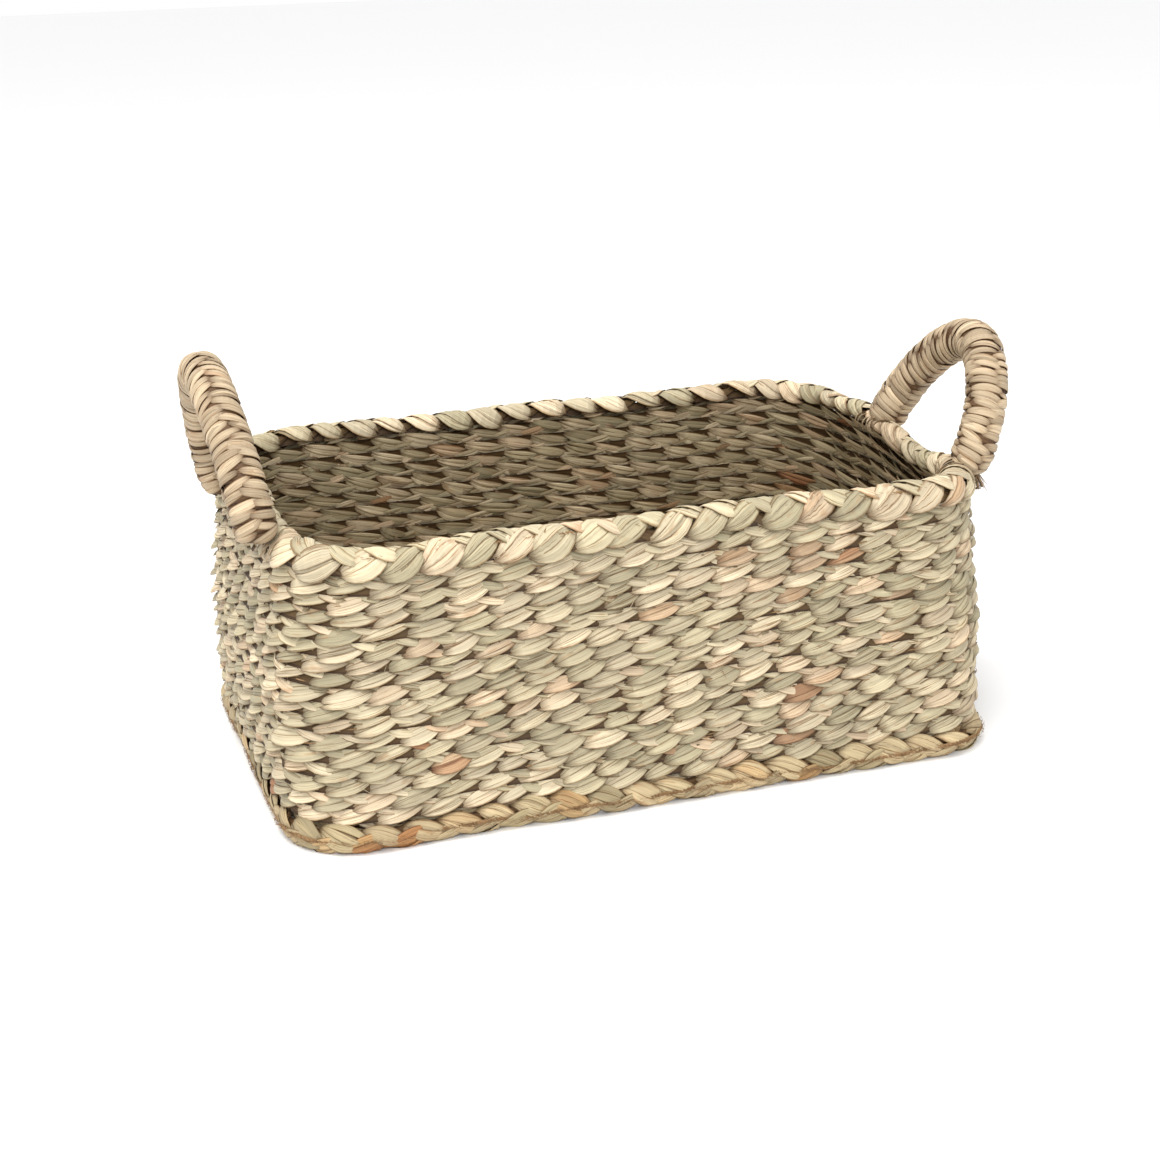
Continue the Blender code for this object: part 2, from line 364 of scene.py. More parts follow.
def loop_breaks(inset, z):
    """Where each corner and side of a loop starts, as shares of its length, and that length."""
    half_length, half_depth, radius, _ = outline(inset, z)
    arc = radius * math.pi / 2
    long_side = 2 * (half_length - radius)
    end_side = 2 * (half_depth - radius)
    lengths = np.array([arc, long_side, arc, end_side, arc, long_side, arc, end_side])
    return np.concatenate([[0.0], np.cumsum(lengths)]) / lengths.sum(), lengths.sum()


def on_loop(share, inset, z, breaks):
    """Points on the basket's loops, where share runs round once, counter-clockwise from above."""
    half_length, half_depth, radius, bulge = outline(inset, z)
    share = np.mod(share, 1.0)
    piece = np.clip(np.searchsorted(breaks, share, side="right") - 1, 0, 7)
    part = (share - breaks[piece]) / (breaks[piece + 1] - breaks[piece])
    corner = piece // 2
    in_corner = piece % 2 == 0
    angle = CORNER_START[corner] + np.where(in_corner, part, 1.0) * math.pi / 2
    x = CORNER_X[corner] * (half_length - radius) + radius * np.cos(angle)
    y = CORNER_Y[corner] * (half_depth - radius) + radius * np.sin(angle)
    following = (corner + 1) % 4
    next_angle = CORNER_START[following]
    next_x = CORNER_X[following] * (half_length - radius) + radius * np.cos(next_angle)
    next_y = CORNER_Y[following] * (half_depth - radius) + radius * np.sin(next_angle)
    run = np.where(in_corner, 0.0, part)
    x = lerp(x, next_x, run)
    y = lerp(y, next_y, run)
    reach = (1 - (y / half_depth) ** 2) * np.abs(x / half_length) ** 8
    x = x + np.sign(x) * bulge * np.maximum(reach, 0.0)
    return np.stack([x, y, z + 0.0 * x], axis=-1)


def unevenness(share, z):
    """How far hand work wanders from the outline: (inwards, upwards)."""
    inwards = 0.5 * np.sin(TURN * 5 * share + 31 * z) + 0.4 * np.sin(TURN * 11 * share - 47 * z + 1.3)
    upwards = 0.6 * np.sin(TURN * 4 * share + 12 * z + 0.6) + 0.5 * np.sin(TURN * 9 * share - 9 * z + 2.1)
    upwards = upwards * np.clip(z / HEIGHT, 0.0, 1.0)
    for middle, reach, height, height_reach, dent, rise in DENTS:
        away = (np.mod(share - middle + 0.5, 1.0) - 0.5) / reach
        size = np.exp(-(away**2) - ((z / HEIGHT - height) / height_reach) ** 2)
        inwards = inwards + dent * size
        upwards = upwards + rise * size
    return inwards * MM, upwards * MM


def section_track(points_mm, swing_reach):
    """Function from (v, n) to (inset, z) along a section line, with v = 0 at its middle."""
    points = np.array(points_mm) * MM
    if len(points) > 2:
        coarse = np.linspace(0, len(points) - 1, TRACK_POINTS)
        index = np.arange(len(points))
        points = np.stack([np.interp(coarse, index, points[:, axis]) for axis in (0, 1)], axis=1)
        kernel = np.ones(TRACK_SMOOTHING) / TRACK_SMOOTHING
        half = TRACK_SMOOTHING // 2
        padded = np.concatenate([
            2 * points[0] - points[half:0:-1],
            points,
            2 * points[-1] - points[-2 : -2 - half : -1],
        ])
        points = np.stack([np.convolve(padded[:, axis], kernel, "valid") for axis in (0, 1)], axis=1)
    first = points[0] - points[1]
    last = points[-1] - points[-2]
    points = np.concatenate([
        [points[0] + first / np.linalg.norm(first) * swing_reach],
        points,
        [points[-1] + last / np.linalg.norm(last) * swing_reach],
    ])
    reach = np.concatenate([[0.0], np.cumsum(np.linalg.norm(np.diff(points, axis=0), axis=1))])
    reach -= reach[-1] / 2

    def place(v, n):
        nudge = 0.4 * MM
        inset = np.interp(v, reach, points[:, 0])
        z = np.interp(v, reach, points[:, 1])
        run_inset = np.interp(v + nudge, reach, points[:, 0]) - np.interp(v - nudge, reach, points[:, 0])
        run_z = np.interp(v + nudge, reach, points[:, 1]) - np.interp(v - nudge, reach, points[:, 1])
        length = np.hypot(run_inset, run_z) + 1e-9
        return inset - n * run_z / length, z + n * run_inset / length

    return place


def course_track(index):
    """Section line of one wall course."""
    z = FIRST_COURSE_Z + index * COURSE_PITCH
    far_inset = COURSE_EDGE_INSET + COURSE_WIDTH * math.sin(COURSE_TILT)
    far_z = z + COURSE_WIDTH * math.cos(COURSE_TILT)
    ends = [(COURSE_EDGE_INSET / MM, z / MM), (far_inset / MM, far_z / MM)]
    return section_track(ends, 10 * MM)


def loop_layer(track, lowest_z=0.0):
    """Function that lays (u, v, n) on the basket along a section line, and the loop's length."""
    middle_inset, middle_z = (float(value) for value in track(np.array(0.0), np.array(0.0)))
    breaks, length = loop_breaks(middle_inset, middle_z)

    def lay(u, v, n):
        share = u / length
        inset, z = track(v, n)
        inwards, upwards = unevenness(share, z)
        z = np.maximum(z + upwards, lowest_z)
        return on_loop(share, inset + inwards, z, breaks)

    return lay, length


# ---------------------------------------------------------------- ribbons


def wander(random, length, spacing, size):
    """A smooth random function of u that repeats after length."""
    count = max(int(round(length / spacing)), 3)
    knots = random.uniform(-size, size, count)

    def value(u):
        place = np.mod(u / length, 1.0) * count
        index = np.floor(place).astype(int)
        part = place - index
        part = part * part * (3 - 2 * part)
        return lerp(knots[index % count], knots[(index + 1) % count], part)

    return value


class Bundle:
    """Ribbons gathered for one piece: their points, faces and what the material reads."""

    def __init__(self):
        self.points = []
        self.faces = []
        self.blade = []
        self.tone = []
        self.count = 0

    def add(self, rings, along, tone):
        """rings: (stations, section, 3) points in space; along: metres from the blade's start."""
        stations, sides = rings.shape[:2]
        index = self.count + np.arange(stations * sides).reshape(stations, sides)
        after = np.roll(index, -1, axis=1)
        quads = np.stack([index[:-1], index[1:], after[1:], after[:-1]], axis=-1).reshape(-1, 4)
        first, last = index[0], index[-1]
        caps = np.array([
            first[[0, 1, 2, 3]],
            first[[0, 3, 4, 5]],
            last[[3, 2, 1, 0]],
            last[[5, 4, 3, 0]],
        ])
        blade = np.zeros((stations, sides, 3))
        blade[..., 0] = along[:, None]
        blade[..., 1] = BLADE_SECTION[:, 0]
        blade[..., 2] = tone[3]
        colour = np.ones((stations, sides, 4))
        for channel in range(3):
            colour[..., channel] = np.reshape(tone[channel] + 0.0 * along, (stations, 1))
        self.points.append(rings.reshape(-1, 3))
        self.faces.extend([quads, caps])
        self.blade.append(blade.reshape(-1, 3))
        self.tone.append(colour.reshape(-1, 4))
        self.count += stations * sides


def ribbon(bundle, lay, u, v, n, width, thickness, roll, tone, shift=None, taper=5 * MM):
    """Adds one blade along the centre line (u, v, n), which lay then puts in space."""
    run_u = np.gradient(u)
    run_v = np.gradient(v)
    size = np.hypot(run_u, run_v) + 1e-12
    across_u, across_v = -run_v / size, run_u / size
    step = np.sqrt(np.diff(u) ** 2 + np.diff(v) ** 2 + np.diff(n) ** 2)
    along = np.concatenate([[0.0], np.cumsum(step)])
    from_end = np.minimum(along, along[-1] - along)
    narrowing = 0.18 + 0.82 * np.clip(from_end / taper, 0.0, 1.0) ** 0.7
    if shift is not None:
        u = u + across_u * shift
        v = v + across_v * shift
    half_width = (width * narrowing / 2)[:, None]
    half_thickness = thickness / 2 * (0.4 + 0.6 * narrowing)[:, None]
    out = BLADE_SECTION[:, 1] * half_thickness
    sideways = BLADE_SECTION[:, 0] * half_width
    cos_roll, sin_roll = np.cos(roll)[:, None], np.sin(roll)[:, None]
    tilted_side = sideways * cos_roll - out * sin_roll
    tilted_out = sideways * sin_roll + out * cos_roll
    ring_u = u[:, None] + across_u[:, None] * tilted_side
    ring_v = v[:, None] + across_v[:, None] * tilted_side
    ring_n = n[:, None] + tilted_out
    bundle.add(lay(ring_u, ring_v, ring_n), along, tone)


def blade_tone(random, rust=0.02):
    """(colour pick, brightness, shade, seed) of one blade."""
    pick = random.beta(1.5, 1.8) * 0.86
    if random.random() < rust:
        pick = random.uniform(0.88, 1.0)
    return pick, random.uniform(0.0, 1.0), 0.0, random.uniform(0.0, 1.0)


def blade_spans(random, length, shortest, longest):
    """Start and end of each blade along one lane of a closed plait, overlapping at the ends."""
    start = random.uniform(0.0, longest)
    last = start + length
    spans = []
    while start < last:
        end = start + random.uniform(shortest, longest)
        if end > last - shortest / 2:
            end = last
        spans.append((start - random.uniform(2, 6) * MM, end + random.uniform(2, 6) * MM))
        start = end
    return spans


def folded_swing(theta):
    """From -1 to 1 and back: straight across the plait, with a tight fold at each edge."""
    return np.arcsin(FOLD_SHARPNESS * np.sin(theta)) / math.asin(FOLD_SHARPNESS)


def add_leaf(bundle, lay, start, end, depth, width, random, rust):
    """Flat blades that lie straight from start to end as (u, v), with their ends tucked in.
    depth: place out of the face at the start, in the middle and at the end."""
    part = np.linspace(0, 1, LEAF_STATIONS)
    bow = np.sin(math.pi * part)
    pick, bright, _, _ = blade_tone(random, rust)
    # Painted light: leaves on the plait's inner face are made brighter.
    bright += INSIDE_PAINTED_LIGHT if depth[1] < 0 else 0.0
    # Painted shade: each leaf darkens towards both ends, where it tucks under its neighbours.
    shade = np.clip(1.0 - 4.5 * np.minimum(part, 1 - part), 0.0, 1.0)
    run = np.subtract(end, start)
    run = run / np.hypot(*run)
    start = start - run * LEAF_TUCK * random.uniform(0.7, 1.3)
    end = end + run * LEAF_TUCK * random.uniform(0.7, 1.3)
    across = np.array([-run[1], run[0]])
    side = 1 if depth[1] > 0 else -1
    for place, share, out, chance in LEAF_BLADES:
        if random.random() > chance:
            continue
        first = start + across * (place * width * 0.55 + random.uniform(-0.9, 0.9) * MM)
        last = end + across * (place * width * 0.55 + random.uniform(-0.9, 0.9) * MM)
        middle = across * place * width * random.uniform(0.7, 1.2)
        u = lerp(first[0], last[0], part) + middle[0] * bow
        v = lerp(first[1], last[1], part) + middle[1] * bow
        n = lerp(lerp(depth[0], depth[2], part), depth[1], bow**0.7) + side * out * bow**0.4 * MM
        wide = share * width * random.uniform(0.82, 1.18) * (0.12 + 0.88 * bow**0.8)
        roll = random.uniform(-0.16, 0.16) + random.uniform(-0.16, 0.16) * (part - 0.5)
        tone = (
            min(max(pick + random.uniform(-0.06, 0.06), 0.0), 1.0),
            min(max(bright + random.uniform(-0.22, 0.22), 0.0), 1.0),
            shade,
            random.uniform(0.0, 1.0),
        )
        ribbon(bundle, lay, u, v, n, wide, LEAF_THICKNESS, roll, tone, taper=1.0 * MM)


def add_painted_shade_strip(bundle, lay, length, size, step):
    """A strip in full painted shade that closes the gaps inside a plait."""
    u = np.linspace(0, length, int(length / (2 * step)))
    n = 0 * u - size["sunk"]
    width = size["shade_strip"] + 0 * u
    ribbon(bundle, lay, u, 0 * u, n, width, 0.5 * MM, 0 * u, PAINTED_SHADE_TONE, taper=0.1 * MM)


def add_plait(bundle, lay, length, size, seed, step=BLADE_STEP, rust=0.015):
    """A closed three-strand flat plait: strands packed inside in full painted shade, and on both faces
    the leaves of flat blades where each strand passes over."""
    random = np.random.default_rng(seed)
    swings = max(int(round(length / SWING_LENGTH)), 2)
    swing_length = length / swings
    start_phase = random.uniform(0, TURN)
    phase_wander = wander(random, length, 50 * MM, 0.5)
    swing_wander = wander(random, length, 40 * MM, 0.10)
    across_wander = wander(random, length, 30 * MM, 0.5 * MM)
    out_wander = wander(random, length, 24 * MM, 0.35 * MM)
    add_painted_shade_strip(bundle, lay, length, size, step)
    for strand in range(3):
        for start, end in blade_spans(random, length, 150 * MM, 300 * MM):
            u = np.linspace(start, end, max(int((end - start) / step), 4))
            theta = TURN * (u / swing_length + strand / 3) + start_phase + phase_wander(u)
            v = CORE_SWING * size["swing"] * folded_swing(theta) + across_wander(u)
            n = -CORE_LIFT * size["lift"] * np.sin(2 * theta) + out_wander(u)
            width = CORE_SHARE * size["strand"] * (0.70 + 0.30 * np.abs(np.sin(theta)))
            # Painted shade: the hidden strands are coloured in full shade.
            ribbon(bundle, lay, u, v, n, width, CORE_THICKNESS, 0 * u, PAINTED_SHADE_TONE)
        for half_turn in range(2 * swings):
            for side in (1, -1):
                reach = LEAF_START, LEAF_END
                if side < 0:
                    reach = math.pi - LEAF_END, math.pi - LEAF_START
                turn = half_turn * math.pi + np.array(reach) + random.uniform(-0.09, 0.09, 2)
                u = (turn - start_phase) / TURN * swing_length - strand / 3 * swing_length
                u = u - phase_wander(u) / TURN * swing_length
                v = size["swing"] * (1 + swing_wander(u)) * folded_swing(turn) + across_wander(u)
                ends = np.stack([u, v + random.uniform(-0.4, 0.4, 2) * MM], axis=1)
                middle = size["lift"] + size["cover"] + random.uniform(-0.3, 0.3) * MM
                tucked = random.uniform((-1.7, -1.0), (-0.7, -0.1)) * MM
                depth = side * np.array([tucked[0], middle, tucked[1]]) + out_wander(u[:1])
                width = size["strand"] * random.uniform(0.84, 1.10)
                add_leaf(bundle, lay, ends[0], ends[1], depth, width, random, rust)


# ---------------------------------------------------------------- meshes and pieces


def mesh_from(name, bundle, material):
    points = np.concatenate(bundle.points).astype(np.float32)
    faces = np.concatenate(bundle.faces).astype(np.int32)
    mesh = bpy.data.meshes.new(name)
    mesh.vertices.add(len(points))
    mesh.vertices.foreach_set("co", points.ravel())
    mesh.loops.add(faces.size)
    mesh.loops.foreach_set("vertex_index", faces.ravel())
    mesh.polygons.add(len(faces))
    mesh.polygons.foreach_set("loop_start", np.arange(0, faces.size, 4, dtype=np.int32))
    mesh.update(calc_edges=True)
    mesh.shade_smooth()
    mesh.set_sharp_from_angle(angle=SHARP_ANGLE)
    blade = mesh.attributes.new("blade", "FLOAT_VECTOR", "POINT")
    blade.data.foreach_set("vector", np.concatenate(bundle.blade).astype(np.float32).ravel())
    tone = mesh.attributes.new("tone", "FLOAT_COLOR", "POINT")
    tone.data.foreach_set("color", np.concatenate(bundle.tone).astype(np.float32).ravel())
    mesh.materials.append(material)
    return mesh


def add_piece(name, bundle, material, body, replaced=()):
    """One visible piece that rides on a body. When body is (body, other body, start, end) instead, these
    entries are not used and the piece is only fixed in place in the world.
    """
    item = bpy.data.objects.new(name, mesh_from(name, bundle, material))
    bpy.context.scene.collection.objects.link(item)
    if isinstance(body, str):
        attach(item, body)
    else:
        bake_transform(item)
    if replaced:
        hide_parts(*replaced)
    return item


# ---------------------------------------------------------------- materials


class Nodes:
    """Short calls for building one material's node tree."""

    def __init__(self, material):
        material.use_nodes = True
        self.tree = material.node_tree
        self.shader = self.tree.nodes["Principled BSDF"]

    def link(self, source, target):
        if isinstance(source, (int, float)):
            target.default_value = source
        elif isinstance(source, tuple):
            target.default_value = (*source, 1.0)[: len(target.default_value)]
        else:
            self.tree.links.new(source, target)

    def attribute(self, name):
        node = self.tree.nodes.new("ShaderNodeAttribute")
        node.attribute_name = name
        return node

    def separate(self, vector):
        node = self.tree.nodes.new("ShaderNodeSeparateXYZ")
        self.link(vector, node.inputs[0])
        return node.outputs

    def combine(self, x, y, z):
        node = self.tree.nodes.new("ShaderNodeCombineXYZ")
        for source, target in zip((x, y, z), node.inputs):
            self.link(source, target)
        return node.outputs[0]

    def maths(self, operation, first, second=0.0):
        node = self.tree.nodes.new("ShaderNodeMath")
        node.operation = operation
        self.link(first, node.inputs[0])
        self.link(second, node.inputs[1])
        return node.outputs[0]

    def noise(self, vector, scale, detail=2.0, roughness=0.5):
        node = self.tree.nodes.new("ShaderNodeTexNoise")
        node.inputs["Scale"].default_value = scale
        node.inputs["Detail"].default_value = detail
        node.inputs["Roughness"].default_value = roughness
        self.link(vector, node.inputs["Vector"])
        return node.outputs["Fac"]

    def spread(self, value, low, high, new_low, new_high):
        node = self.tree.nodes.new("ShaderNodeMapRange")
        node.interpolation_type = "SMOOTHSTEP"
        self.link(value, node.inputs["Value"])
        node.inputs["From Min"].default_value = low
        node.inputs["From Max"].default_value = high
        node.inputs["To Min"].default_value = new_low
        node.inputs["To Max"].default_value = new_high
        return node.outputs["Result"]

    def ramp(self, value, stops):
        node = self.tree.nodes.new("ShaderNodeValToRGB")
        elements = node.color_ramp.elements
        while len(elements) < len(stops):
            elements.new(0.5)
        for element, (position, colour) in zip(elements, stops):
            element.position = position
            element.color = (*colour, 1.0)
        self.link(value, node.inputs["Fac"])
        return node.outputs["Color"]

    def mix(self, kind, share, first, second):
        node = self.tree.nodes.new("ShaderNodeMix")
        node.data_type = "RGBA"
        node.blend_type = kind
        self.link(share, node.inputs["Factor"])
        self.link(first, node.inputs["A"])
        self.link(second, node.inputs["B"])
        return node.outputs["Result"]

    def bump(self, height, strength, distance):
        node = self.tree.nodes.new("ShaderNodeBump")
        node.inputs["Strength"].default_value = strength
        node.inputs["Distance"].default_value = distance
        self.link(height, node.inputs["Height"])
        return node.outputs["Normal"]


def blade_material(name, colours, shade_colour, roughness):
    """Dry flat blades: a colour for each blade, streaks along it, edges darkened partly as browned edges
    and partly as painted shade, stains, and painted shade where the tone asks for it.
    """
    material = bpy.data.materials.new(name)
    nodes = Nodes(material)
    tone = nodes.separate(nodes.attribute("tone").outputs["Color"])
    along, across, seed = nodes.separate(nodes.attribute("blade").outputs["Vector"])
    seed_shift = nodes.maths("MULTIPLY", seed, 60.0)
    streak_place = nodes.combine(
        nodes.maths("MULTIPLY", along, 28.0),
        nodes.maths("MULTIPLY", across, 2.6),
        seed_shift,
    )
    streak = nodes.noise(streak_place, 1.0, 3.0, 0.6)
    line_place = nodes.combine(
        nodes.maths("MULTIPLY", along, 45.0),
        nodes.maths("MULTIPLY", across, 9.0),
        seed_shift,
    )
    line = nodes.noise(line_place, 1.0, 2.0, 0.5)
    stain_place = nodes.combine(nodes.maths("MULTIPLY", along, 70.0), across, seed_shift)
    stain = nodes.noise(stain_place, 1.0, 2.0, 0.6)
    colour = nodes.ramp(tone[0], colours)
    bright = nodes.spread(tone[1], 0.0, 1.0, 0.80, 1.10)
    bright = nodes.maths("MULTIPLY", bright, nodes.spread(streak, 0.3, 0.7, 0.80, 1.14))
    grey = nodes.combine(bright, bright, bright)
    colour = nodes.mix("MULTIPLY", 1.0, colour, grey)
    stained = nodes.spread(stain, 0.58, 0.74, 0.0, 0.60)
    colour = nodes.mix("MIX", stained, colour, (0.36, 0.20, 0.09))
    lined = nodes.spread(line, 0.33, 0.40, 0.95, 0.0)
    colour = nodes.mix("MULTIPLY", lined, colour, (0.42, 0.31, 0.20))
    # Edges darken: partly browned edges, partly painted shade where blades touch.
    edge = nodes.spread(nodes.maths("ABSOLUTE", across), 0.74, 1.0, 0.0, 1.0)
    colour = nodes.mix("MULTIPLY", edge, colour, (0.42, 0.31, 0.20))
    # Painted shade: the tone's shade share mixes in the shade colour.
    colour = nodes.mix("MULTIPLY", tone[2], colour, shade_colour)
    nodes.link(colour, nodes.shader.inputs["Base Color"])
    rough = nodes.spread(streak, 0.3, 0.7, roughness - 0.08, roughness + 0.12)
    nodes.link(rough, nodes.shader.inputs["Roughness"])
    nodes.shader.inputs["Specular IOR Level"].default_value = 0.35
    relief = nodes.maths("ADD", nodes.maths("MULTIPLY", line, 0.6), streak)
    nodes.link(nodes.bump(relief, 0.5, 0.35 * MM), nodes.shader.inputs["Normal"])
    return material


def fibre_material(name, dark, light):
    """Hairy twisted thread or bundled grass: fine fibres in two browns."""
    material = bpy.data.materials.new(name)
    nodes = Nodes(material)
    place = nodes.tree.nodes.new("ShaderNodeNewGeometry").outputs["Position"]
    fine = nodes.noise(place, 1600.0, 3.0, 0.6)
    coarse = nodes.noise(place, 180.0, 2.0, 0.5)
    mixed = nodes.maths(
        "ADD",
        nodes.maths("MULTIPLY", fine, 0.7),
        nodes.maths("MULTIPLY", coarse, 0.5),
    )
    colour = nodes.ramp(mixed, [(0.36, dark), (0.80, light)])
    nodes.link(colour, nodes.shader.inputs["Base Color"])
    nodes.shader.inputs["Roughness"].default_value = 0.92
    nodes.shader.inputs["Specular IOR Level"].default_value = 0.2
    nodes.link(nodes.bump(fine, 0.6, 0.2 * MM), nodes.shader.inputs["Normal"])
    return material


WALL_GRASS = blade_material("seagrass_wall", SEAGRASS_COLOURS, (0.22, 0.145, 0.08), 0.60)
BASE_GRASS = blade_material("seagrass_base", BASE_COLOURS, (0.26, 0.165, 0.09), 0.66)
WRAP_GRASS = blade_material("seagrass_wrap", WRAP_COLOURS, (0.26, 0.17, 0.10), 0.58)
JUTE = fibre_material("jute_thread", (0.14, 0.08, 0.035), (0.36, 0.22, 0.11))
CORE_GRASS = fibre_material("grass_core", (0.16, 0.11, 0.06), (0.40, 0.30, 0.18))


# ---------------------------------------------------------------- walls, rim and bottom


def add_walls():
    for index in range(COURSE_COUNT):
        name = f"wall_course_{index + 1:02d}"
        bundle = Bundle()
        lay, length = loop_layer(course_track(index))
        add_plait(bundle, lay, length, WALL_PLAIT, seed=100 + index)
        add_piece(f"{name}_plait", bundle, WALL_GRASS, "basket", [name])


def add_rim():
    bundle = Bundle()
    lay, length = loop_layer(section_track(RIM_TRACK, 4 * MM))
    add_plait(bundle, lay, length, RIM_PLAIT, seed=200, rust=0.01)
    add_piece("rim_plait_strands", bundle, WALL_GRASS, "basket", ["rim_plait"])


def add_base_edge():
    bundle = Bundle()
    lay, length = loop_layer(section_track(EDGE_TRACK, 4 * MM), lowest_z=0.2 * MM)
    add_plait(bundle, lay, length, EDGE_PLAIT, seed=300, rust=0.10)
    add_piece("base_edge_strands", bundle, BASE_GRASS, "basket", ["base_edge_plait"])


def flat_track(middle_inset):
    """Section line of a bottom turn, flat on the floor, from the outside inwards."""
    half = BASE_TURN_PITCH / 2 / MM
    middle = middle_inset / MM
    return section_track([(middle - half, 2.2), (middle + half, 2.2)], 6 * MM)


def add_bottom():
    for index in range(BASE_TURN_COUNT):
        name = f"base_turn_{index + 1:02d}"
        middle = BASE_TURN_START + (index + 0.5) * BASE_TURN_PITCH
        bundle = Bundle()
        lay, length = loop_layer(flat_track(middle))
        add_plait(bundle, lay, length, BASE_PLAIT, seed=400 + index, step=3.6 * MM)
        add_piece(f"{name}_plait", bundle, BASE_GRASS, "basket", [name])
    add_centre_strip()


def add_centre_strip():
    """One straight plait in the middle of the bottom, with its ends tucked under the next turn."""
    centre_inset = BASE_TURN_START + BASE_TURN_COUNT * BASE_TURN_PITCH
    half_length = BASE_LENGTH / 2 - centre_inset + 4 * MM
    random = np.random.default_rng(450)

    def lay(u, v, n):
        z = np.maximum(2.1 * MM + n, 0.0)
        return np.stack([u, v, z], axis=-1)

    bundle = Bundle()
    for strand in range(3):
        for place, out, share in STRIP_BLADES:
            u = np.linspace(-half_length, half_length, int(2 * half_length / (3 * MM)))
            theta = TURN * (u / SWING_LENGTH + strand / 3)
            v = BASE_PLAIT["swing"] * np.sin(theta)
            n = -BASE_PLAIT["lift"] * np.sin(2 * theta) + out * MM
            width = share * BASE_PLAIT["strand"] * np.ones_like(u)
            roll = random.uniform(-0.1, 0.1) * np.ones_like(u)
            shift = place * BASE_PLAIT["strand"]
            ribbon(
                bundle, lay, u, v, n, width, LEAF_THICKNESS, roll, blade_tone(random), shift
            )
    add_piece(
        "base_centre_plait", bundle, BASE_GRASS, "basket", ["base_centre_strip"]
    )


def jute_tone(seed):
    return 0.5, 0.5, 0.0, seed


def add_thread(name, spine_mm, seed, swing, hairs):
    """Two-ply hairy thread that runs round the basket along a plait's spine."""
    random = np.random.default_rng(seed)
    inset, z = spine_mm
    middle_breaks, length = loop_breaks(inset * MM, z * MM)
    depth = wander(random, length, 22 * MM, swing)
    rise = wander(random, length, 15 * MM, 0.9 * MM)

    def lay(u, v, n):
        share = u / length
        inwards, upwards = unevenness(share, z * MM + 0 * u)
        thread_inset = inset * MM + inwards + depth(u) - n
        thread_z = z * MM + upwards + rise(u) + v
        return on_loop(share, thread_inset, thread_z, middle_breaks)

    bundle = Bundle()
    u = np.linspace(0, length, int(length / (1.1 * MM)))
    for strand in range(2):
        angle = TURN * (u / THREAD_TWIST + strand / 2)
        v = THREAD_PLY * np.cos(angle)
        n = THREAD_PLY * np.sin(angle)
        width = 1.4 * MM * np.ones_like(u)
        ribbon(bundle, lay, u, v, n, width, 1.2 * MM, 0 * u, jute_tone(0.3 + strand / 3))
    for _ in range(hairs):
        start = random.uniform(0, length)
        reach = random.uniform(2, 7) * MM
        part = np.linspace(0, 1, 5)
        lift = random.uniform(0.3, 2.0) * MM
        sideways = random.uniform(-2.2, 2.2) * MM
        hair_u = start + reach * part * random.choice([-1, 1])
        hair_v = sideways * part
        hair_n = 0.5 * MM + lift * np.sin(part * random.uniform(1.5, 2.8))
        width = HAIR_WIDTH * np.ones_like(part)
        ribbon(
            bundle,
            lay,
            hair_u,
            hair_v,
            hair_n,
            width,
            HAIR_THICKNESS,
            0 * part,
            jute_tone(random.random()),
            taper=1 * MM,
        )
    add_piece(f"{name}_jute", bundle, JUTE, "basket", [name])


def add_stray_fibres():
    """Loose hairs of grass on the wall, and short bits of the hidden jute between courses."""
    random = np.random.default_rng(720)
    part = np.linspace(0, 1, 7)
    grass = Bundle()
    jute = Bundle()
    for index in range(COURSE_COUNT):
        lay, length = loop_layer(course_track(index))
        for _ in range(STRAY_HAIRS):
            u = random.uniform(0, length) + random.uniform(-9, 9) * MM * part
            v = random.uniform(-4, 1) * MM + random.uniform(-6, 6) * MM * part
            rise = random.uniform(0.6, 3.0) * MM
            n = 1.6 * MM + rise * np.sin(part * math.pi * random.uniform(0.6, 1.0))
            width = 0.28 * MM * np.ones_like(part)
            tone = blade_tone(random, 0.3)
            ribbon(grass, lay, u, v, n, width, 0.2 * MM, 2 * part, tone, taper=2 * MM)
        for _ in range(STRAY_JUTE):
            u = random.uniform(0, length) + random.uniform(3, 9) * MM * part
            v = random.uniform(-5.5, -4.0) * MM + random.uniform(-1, 1) * MM * part
            n = 0.9 * MM + random.uniform(0.2, 1.0) * MM * np.sin(part * math.pi)
            width = 0.7 * MM * np.ones_like(part)
            ribbon(jute, lay, u, v, n, width, 0.5 * MM, part, jute_tone(0.5), taper=2 * MM)
    add_piece("stray_grass_hairs", grass, WALL_GRASS, "basket")
    add_piece("stray_jute_bits", jute, JUTE, "basket")


# ---------------------------------------------------------------- handles


def arch_point(shape, turn):
    """Points on a handle's centre line; turn runs from 0 at the front foot to pi at the back."""
    power = shape["fullness"]
    cosine = np.cos(turn)
    across = -np.sign(cosine) * np.abs(cosine) ** power * shape["half_span"]
    up = np.maximum(np.sin(turn), 0.0) ** power * shape["rise"]
    x = shape["side"] * (shape["foot_x"] + math.sin(shape["lean"]) * up)
    return np.stack([x, shape["centre_y"] + across, FOOT_Z + math.cos(shape["lean"]) * up], axis=-1)


